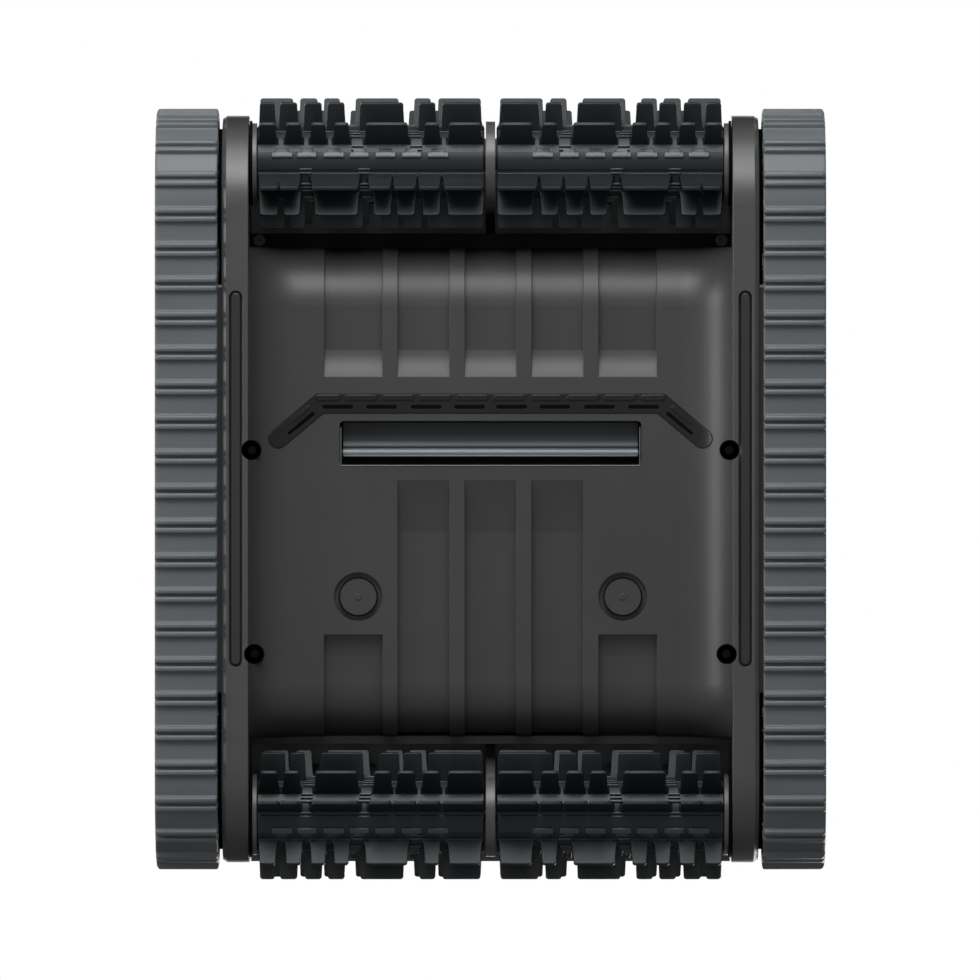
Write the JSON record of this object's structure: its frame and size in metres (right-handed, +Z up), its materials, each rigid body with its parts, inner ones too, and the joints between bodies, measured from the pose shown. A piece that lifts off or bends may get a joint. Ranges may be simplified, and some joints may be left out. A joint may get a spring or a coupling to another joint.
{
  "type": "tracked pool cleaning robot chassis",
  "caption": "Low tracked chassis with rubber tread belts, bladed brush rollers front and rear, a belly suction slot with a hinged flap, and a lidded filter bay.",
  "frame": {"origin": "middle of the footprint, on the floor that the tracks stand on", "axes": "+Z up, +Y forward (towards the front brush pair), +X to the left track"},
  "size_m": [0.402, 0.4697, 0.228],
  "materials": {
    "frame_plastic": "fine satin texture",
    "belly_plastic": "satin moulded",
    "track_rubber": "matte slate rubber",
    "brush_pvc": "dark blue-black PVC",
    "flap_rubber": "slate, smooth",
    "wheel_plastic": "satin",
    "steel": "stainless",
    "black_plastic": "satin",
    "acetal": "bearing plastic",
    "battery_wrap": "shrink wrap",
    "board": "solder mask",
    "shell_plastic": "semi-gloss",
    "lid_plastic": "semi-gloss",
    "mesh": "fine filter mesh",
    "light": "diffuser",
    "seal": "soft seal"
  },
  "bodies": {
    "chassis": {"battery_pack": "battery_wrap", "belly_pan": "belly_plastic", "belly_screws": "steel", "brush_bushes": "acetal", "carry_handle": "lid_plastic", "charging_socket": "black_plastic", "control_board": "board", "dry_box": "black_plastic", "dry_box_lid": "black_plastic", "dry_box_seal": "seal", "filter_basket": "black_plastic", "filter_mesh": "mesh", "flap_pin": "steel", "front_brush_bracket": "belly_plastic", "inlet_duct": "black_plastic", "left_drive_motor": "steel", "left_frame_strip": "black_plastic", "left_round_pad": "belly_plastic", "left_side_cover": "wheel_plastic", "left_side_frame": "frame_plastic", "left_track": "track_rubber", "left_track_guides": "black_plastic", "lid_hinge_pins": "steel", "motor_shaft_seals": "seal", "outlet_grille": "black_plastic", "pump_housing": "black_plastic", "pump_motor": "steel", "rear_brush_bracket": "belly_plastic", "right_drive_motor": "steel", "right_frame_strip": "black_plastic", "right_round_pad": "belly_plastic", "right_side_cover": "wheel_plastic", "right_side_frame": "frame_plastic", "right_track": "track_rubber", "right_track_guides": "black_plastic", "status_light": "light", "upper_shell": "shell_plastic", "vent_strip": "black_plastic", "wheel_axles": "steel", "wheel_caps": "wheel_plastic"},
    "left_front_wheel": {"left_front_wheel": "wheel_plastic"},
    "left_rear_wheel": {"left_rear_wheel": "wheel_plastic"},
    "right_front_wheel": {"right_front_wheel": "wheel_plastic"},
    "right_rear_wheel": {"right_rear_wheel": "wheel_plastic"},
    "left_front_brush": {"left_front_brush": "brush_pvc", "left_front_brush_shaft": "acetal"},
    "right_front_brush": {"right_front_brush": "brush_pvc", "right_front_brush_shaft": "acetal"},
    "left_rear_brush": {"left_rear_brush": "brush_pvc", "left_rear_brush_shaft": "acetal"},
    "right_rear_brush": {"right_rear_brush": "brush_pvc", "right_rear_brush_shaft": "acetal"},
    "left_drive_pinion": {"left_drive_pinion": "acetal"},
    "right_drive_pinion": {"right_drive_pinion": "acetal"},
    "inlet_flap": {"inlet_flap": "flap_rubber"},
    "impeller": {"impeller": "lid_plastic"},
    "top_lid": {"top_lid": "lid_plastic"},
    "power_button": {"power_button": "lid_plastic"}
  },
  "joints": [
    {"name": "left_drive", "type": "hinge", "parent": "chassis", "child": "left_rear_wheel", "pos_m": [0.182, -0.1708, 0.0584], "axis": [1, 0, 0], "continuous": true, "deforming": ["left_track"]},
    {"name": "left_idler", "type": "hinge", "parent": "chassis", "child": "left_front_wheel", "pos_m": [0.182, 0.1708, 0.0584], "axis": [1, 0, 0], "continuous": true, "deforming": ["left_track"]},
    {"name": "left_front_brush_spin", "type": "hinge", "parent": "chassis", "child": "left_front_brush", "pos_m": [0.07, 0.1958, 0.0405], "axis": [1, 0, 0], "continuous": true},
    {"name": "left_rear_brush_spin", "type": "hinge", "parent": "chassis", "child": "left_rear_brush", "pos_m": [0.07, -0.1958, 0.0405], "axis": [1, 0, 0], "continuous": true},
    {"name": "left_pinion_spin", "type": "hinge", "parent": "chassis", "child": "left_drive_pinion", "pos_m": [0.16, -0.14005, 0.0584], "axis": [1, 0, 0], "continuous": true},
    {"name": "right_drive", "type": "hinge", "parent": "chassis", "child": "right_rear_wheel", "pos_m": [-0.182, -0.1708, 0.0584], "axis": [1, 0, 0], "continuous": true, "deforming": ["right_track"]},
    {"name": "right_idler", "type": "hinge", "parent": "chassis", "child": "right_front_wheel", "pos_m": [-0.182, 0.1708, 0.0584], "axis": [1, 0, 0], "continuous": true, "deforming": ["right_track"]},
    {"name": "right_front_brush_spin", "type": "hinge", "parent": "chassis", "child": "right_front_brush", "pos_m": [-0.07, 0.1958, 0.0405], "axis": [1, 0, 0], "continuous": true},
    {"name": "right_rear_brush_spin", "type": "hinge", "parent": "chassis", "child": "right_rear_brush", "pos_m": [-0.07, -0.1958, 0.0405], "axis": [1, 0, 0], "continuous": true},
    {"name": "right_pinion_spin", "type": "hinge", "parent": "chassis", "child": "right_drive_pinion", "pos_m": [-0.16, -0.14005, 0.0584], "axis": [1, 0, 0], "continuous": true},
    {"name": "inlet_flap_swing", "type": "hinge", "parent": "chassis", "child": "inlet_flap", "pos_m": [0, 0.02175, 0.03], "axis": [1, 0, 0], "range_deg": [0, 50]},
    {"name": "impeller_spin", "type": "hinge", "parent": "chassis", "child": "impeller", "pos_m": [0, -0.065, 0.15], "axis": [0, 0, 1], "continuous": true},
    {"name": "lid_hinge", "type": "hinge", "parent": "chassis", "child": "top_lid", "pos_m": [0, -0.006, 0.1982], "axis": [1, 0, 0], "range_deg": [0, 100]},
    {"name": "power_button_press", "type": "slide", "parent": "chassis", "child": "power_button", "axis": [0, 0, 1], "range_m": [-0.0015, 0], "stiffness_N_per_m": 400, "springref_m": 0.0008}
  ],
  "couplings": [
    {"joint": "left_idler", "follows": "left_drive", "ratio": 1},
    {"joint": "left_front_brush_spin", "follows": "left_drive", "ratio": 3.1579},
    {"joint": "left_rear_brush_spin", "follows": "left_drive", "ratio": 3.1579},
    {"joint": "left_pinion_spin", "follows": "left_drive", "ratio": 3.1579},
    {"joint": "right_idler", "follows": "right_drive", "ratio": 1},
    {"joint": "right_front_brush_spin", "follows": "right_drive", "ratio": 3.1579},
    {"joint": "right_rear_brush_spin", "follows": "right_drive", "ratio": 3.1579},
    {"joint": "right_pinion_spin", "follows": "right_drive", "ratio": 3.1579}
  ]
}
